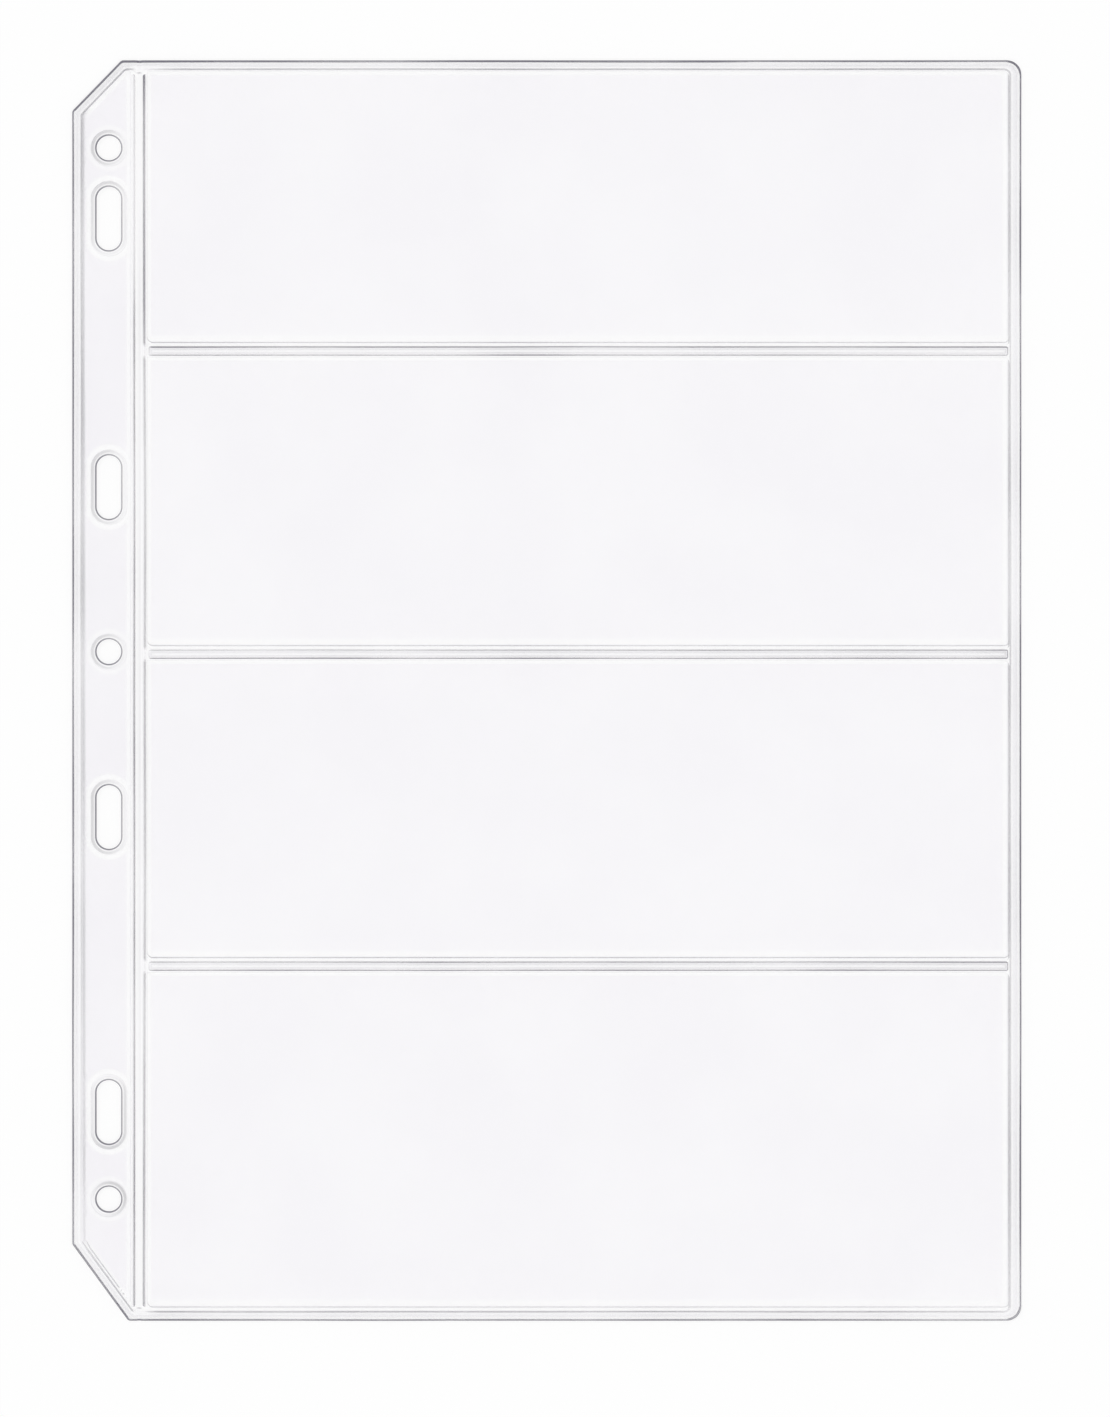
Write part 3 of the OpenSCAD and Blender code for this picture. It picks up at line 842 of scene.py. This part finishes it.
def pocket_half(number, left_half):
    """Half of a pocket's front, pressed thin along its border and a little rippled inside it."""
    low, high = box_mm(f"pocket_film_{number}")
    fused = FILM_GAP - HAIR
    low, high = low - (fused, fused, 0), high + (fused, 0, 0)
    joint = joints[f"pocket_{number}_mouth"]
    pressed_t = 2 * (joint[2] - FRONT_Z)
    middle = (low[0] + high[0]) / 2
    length = middle - low[0]
    aways = list(SIDE_COLUMNS) + list(np.linspace(SIDE_COLUMNS[-1], length, PANEL_COLUMNS + 1)[1:])
    panel = np.linspace(BOTTOM_ROWS[-1], high[1] - low[1] - TOP_ROWS[0], PANEL_ROWS + 1)[1:-1]
    grid = []
    for away in aways:
        x = low[0] + away if left_half else high[0] - away
        bottom = low[1] + corner_rise(away)
        top = high[1] - (0 if left_half else corner_rise(away))
        ys = [bottom + r for r in BOTTOM_ROWS]
        ys += [low[1] + r for r in panel]
        ys += [top - r for r in TOP_ROWS]
        column = []
        for k, y in enumerate(ys):
            from_bottom = BOTTOM_ROWS[k] if k < len(BOTTOM_ROWS) else y - low[1]
            from_top = top - y
            rise = min(
                smooth(PRESS_SIDE, PRESS_SIDE + PRESS_RAMP, away),
                smooth(PRESS_BOTTOM, PRESS_BOTTOM + PRESS_RAMP, from_bottom),
            )
            thick = pressed_t + (LAND_Z - FRONT_Z - pressed_t) * rise
            inside = smooth(*RIPPLE_RISE, min(away, from_bottom, from_top))
            ripple = -RIPPLE * inside * (0.5 + 0.5 * waver(RIPPLE_SCALE * x, RIPPLE_SCALE * y, number))
            # Painted shade lines along the bottom, the sides and the top, and painted highlight bands beside them
            line = max(
                POCKET_LINES[number - 1] * hump(*LOW_LINE_SPAN, from_bottom),
                band(LEFT_LINE if left_half else RIGHT_LINE, away),
                band(TOP_LINE, from_top),
            )
            highlight = max(
                band(LOW_HIGHLIGHT, from_bottom),
                band(LEFT_HIGHLIGHT if left_half else RIGHT_HIGHLIGHT, away),
                band(TOP_HIGHLIGHT, from_top),
                band(LOW_PAINTED_SHEEN, from_bottom),
            )
            column.append((x, y, FRONT_Z + thick + ripple, FRONT_Z + ripple, line, highlight))
        grid.append(column)
    grid = np.array(grid)
    columns, count = grid.shape[:2]
    n = columns * count
    flat = grid.reshape(n, 6)
    at = np.arange(n).reshape(columns, count)
    quads = [
        (at[i, k], at[i + 1, k], at[i + 1, k + 1], at[i, k + 1])
        for i in range(columns - 1)
        for k in range(count - 1)
    ]
    under = [tuple(v + n for v in q[::-1]) for q in quads]
    border = [*at[:, 0], *at[-1, 1:], *at[-2::-1, -1], *at[0, -2:0:-1]]
    walls = [(a, b, b + n, a + n) for a, b in zip(border, border[1:] + border[:1])]
    faces = [tuple(int(v) for v in f) for f in quads + under + walls]
    vertices = np.concatenate([flat[:, (0, 1, 2)], flat[:, (0, 1, 3)]])
    painted_shades, painted_highlights = np.r_[flat[:, 4], np.zeros(n)], np.r_[flat[:, 5], flat[:, 5]]
    side, edge_x = ("left", low[0]) if left_half else ("right", high[0])
    name = f"pocket_front_{number}_{side}"
    piece = make_piece(name, vertices, faces, painted_shades, painted_highlights, pocket_film)
    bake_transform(piece)
    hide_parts(f"pocket_film_{number}")


for number in (1, 2, 3, 4):
    pocket_half(number, True)
    pocket_half(number, False)

# Stage: a white floor that keeps the page's shadow, soft light from above and a white surround
FLOOR_SIZE, FLOOR_DROP = 60, 0.0003
FLOOR_GLOW, FLOOR_DIFFUSE, FLOOR_BOUNCE = 0.715, 0.28, 0.85
WORLD_LIGHT = 0.67
LAMP_ANGLE = math.radians(30)


def seen_directly(nodes, links):
    """1 for what the camera sees, directly or in gloss or glass."""
    path = nodes.new("ShaderNodeLightPath")
    total = path.outputs["Is Camera Ray"]
    for key in ("Is Glossy Ray", "Is Transmission Ray"):
        node = nodes.new("ShaderNodeMath")
        node.operation = "MAXIMUM"
        links.new(total, node.inputs[0])
        links.new(path.outputs[key], node.inputs[1])
        total = node.outputs[0]
    return total


def floor_material():
    material = bpy.data.materials.new("white_floor")
    material.use_nodes = True
    nodes, links = material.node_tree.nodes, material.node_tree.links
    nodes.remove(nodes["Principled BSDF"])
    glow = nodes.new("ShaderNodeEmission")
    glow.inputs["Strength"].default_value = FLOOR_GLOW
    shaded = nodes.new("ShaderNodeBsdfDiffuse")
    shaded.inputs["Color"].default_value = (FLOOR_DIFFUSE, FLOOR_DIFFUSE, FLOOR_DIFFUSE, 1)
    bounce = nodes.new("ShaderNodeBsdfDiffuse")
    bounce.inputs["Color"].default_value = (FLOOR_BOUNCE, FLOOR_BOUNCE, FLOOR_BOUNCE, 1)
    both = nodes.new("ShaderNodeAddShader")
    links.new(glow.outputs[0], both.inputs[0])
    links.new(shaded.outputs[0], both.inputs[1])
    choice = nodes.new("ShaderNodeMixShader")
    links.new(seen_directly(nodes, links), choice.inputs["Fac"])
    links.new(bounce.outputs[0], choice.inputs[1])
    links.new(both.outputs[0], choice.inputs[2])
    links.new(choice.outputs[0], nodes["Material Output"].inputs["Surface"])
    return material


floor_mesh = bpy.data.meshes.new("floor")
reach = FLOOR_SIZE / 2
floor_corners = ((-reach, -reach), (reach, -reach), (reach, reach), (-reach, reach))
floor_mesh.from_pydata([(x, y, -FLOOR_DROP) for x, y in floor_corners], [], [(0, 1, 2, 3)])
floor_mesh.materials.append(floor_material())
floor = bpy.data.objects.new("floor", floor_mesh)
bpy.context.scene.collection.objects.link(floor)

world = bpy.data.worlds.new("studio")
world.use_nodes = True
bpy.context.scene.world = world
sky = world.node_tree.nodes["Background"]
sky.inputs["Color"].default_value = (1, 1, 1, 1)
sky_nodes, sky_links = world.node_tree.nodes, world.node_tree.links
level = sky_nodes.new("ShaderNodeMapRange")
level.inputs["To Min"].default_value = WORLD_LIGHT
level.inputs["To Max"].default_value = 1
sky_links.new(seen_directly(sky_nodes, sky_links), level.inputs["Value"])
sky_links.new(level.outputs["Result"], sky.inputs["Strength"])


def soft_lamp(name, place, share):
    """A wide far lamp aimed at the page that gives a flat white surface there a share of full white."""
    lamp = bpy.data.lights.new(name, "SUN")
    lamp.angle = LAMP_ANGLE
    away = np.linalg.norm(place)
    lamp.energy = share * math.pi * away / place[2]
    holder = bpy.data.objects.new(name, lamp)
    holder.location = place
    toward = -np.array(place) / away
    holder.rotation_euler = (math.acos(-toward[2]), 0, math.atan2(toward[0], -toward[1]))
    bpy.context.scene.collection.objects.link(holder)


soft_lamp("key_lamp", place=(1.6, -1.1, 3.4), share=0.2)
soft_lamp("fill_lamp", place=(-1.8, 1.4, 3.2), share=0.12)

# Camera straight above the page, framed as in the photograph
FRAME_PX = (1110, 1417)
PAGE_MIDDLE_PX = (546.8, 690.5)
PAGE_LEFT_PX, PAGE_RIGHT_PX = 72.3, 1021.3
SENSOR, LENS = 36, 100
px_per_m = (PAGE_RIGHT_PX - PAGE_LEFT_PX) / ((RIGHT - LEFT) * MM)
camera_data = bpy.data.cameras.new("camera")
camera_data.sensor_width = SENSOR
camera_data.lens = LENS
camera = bpy.data.objects.new("camera", camera_data)
camera.location = (
    (FRAME_PX[0] / 2 - PAGE_MIDDLE_PX[0]) / px_per_m,
    -(FRAME_PX[1] / 2 - PAGE_MIDDLE_PX[1]) / px_per_m,
    LAND_Z * MM + FRAME_PX[1] / px_per_m * LENS / SENSOR,
)
bpy.context.scene.collection.objects.link(camera)
bpy.context.scene.camera = camera

bpy.context.scene.view_settings.view_transform = "Standard"
cycles = bpy.context.scene.cycles
cycles.transparent_max_bounces = 48
cycles.max_bounces = 4
cycles.diffuse_bounces = 2
cycles.glossy_bounces = 2

bpy.context.view_layer.update()
